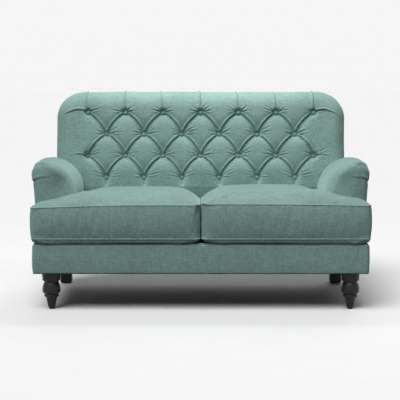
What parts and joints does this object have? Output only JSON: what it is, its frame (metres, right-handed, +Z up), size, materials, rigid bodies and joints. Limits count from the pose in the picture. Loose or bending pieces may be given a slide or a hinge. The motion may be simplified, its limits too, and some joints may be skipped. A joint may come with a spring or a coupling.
{
  "type": "button back sofa",
  "caption": "Small sofa with a deep-buttoned back, low rolled arms, loose T-shaped seat cushions, a padded base, turned front legs and square rear legs.",
  "frame": {"origin": "floor level, at the centre of the sofa's outline seen from above", "axes": "+X to the right seen from the front, along the seat; +Y from the front to the back; +Z up. The front faces -Y."},
  "size_m": [1.44, 0.87, 0.8997],
  "materials": {
    "sage_velvet": "matte",
    "frame_timber": "matte",
    "black_timber": "satin",
    "spring_steel": "satin",
    "cushion_filling": "matte",
    "hessian": "matte",
    "black_lining": "matte",
    "black_nylon": "satin"
  },
  "bodies": {
    "frame": {"back_bottom_rail": "frame_timber", "back_buttons": "sage_velvet", "back_tack_rail": "frame_timber", "back_top_rail": "frame_timber", "back_upright": "frame_timber", "back_webbing": "hessian", "block_screws": "spring_steel", "button_twines": "hessian", "centre_brace": "frame_timber", "corner_blocks": "frame_timber", "deck_pad": "cushion_filling", "dust_cover": "black_lining", "floor_glides": "black_nylon", "frame_dowels": "frame_timber", "front_border": "sage_velvet", "front_seat_rail": "frame_timber", "left_arm_pad": "sage_velvet", "left_arm_post": "frame_timber", "left_arm_rail": "frame_timber", "left_arm_tack_rail": "frame_timber", "left_back_post": "frame_timber", "left_back_side_panel": "sage_velvet", "left_front_leg": "black_timber", "left_outside_arm_panel": "sage_velvet", "left_rear_leg": "black_timber", "left_side_border": "sage_velvet", "left_side_rail": "frame_timber", "leg_bolts": "spring_steel", "outside_back_panel": "sage_velvet", "rear_seat_rail": "frame_timber", "right_arm_pad": "sage_velvet", "right_arm_post": "frame_timber", "right_arm_rail": "frame_timber", "right_arm_tack_rail": "frame_timber", "right_back_post": "frame_timber", "right_back_side_panel": "sage_velvet", "right_front_leg": "black_timber", "right_outside_arm_panel": "sage_velvet", "right_rear_leg": "black_timber", "right_side_border": "sage_velvet", "right_side_rail": "frame_timber", "seat_springs": "spring_steel", "spring_clips": "spring_steel", "spring_cover": "hessian", "tee_nuts": "spring_steel", "tufted_back_pad": "sage_velvet"},
    "left_cushion": {"left_cushion_cover": "sage_velvet", "left_cushion_core": "cushion_filling"},
    "right_cushion": {"right_cushion_cover": "sage_velvet", "right_cushion_core": "cushion_filling"}
  },
  "joints": [
    {"name": "left_cushion_lift", "type": "slide", "parent": "frame", "child": "left_cushion", "axis": [0, 0, 1], "range_m": [0, 0.36]},
    {"name": "right_cushion_lift", "type": "slide", "parent": "frame", "child": "right_cushion", "axis": [0, 0, 1], "range_m": [0, 0.36]}
  ]
}
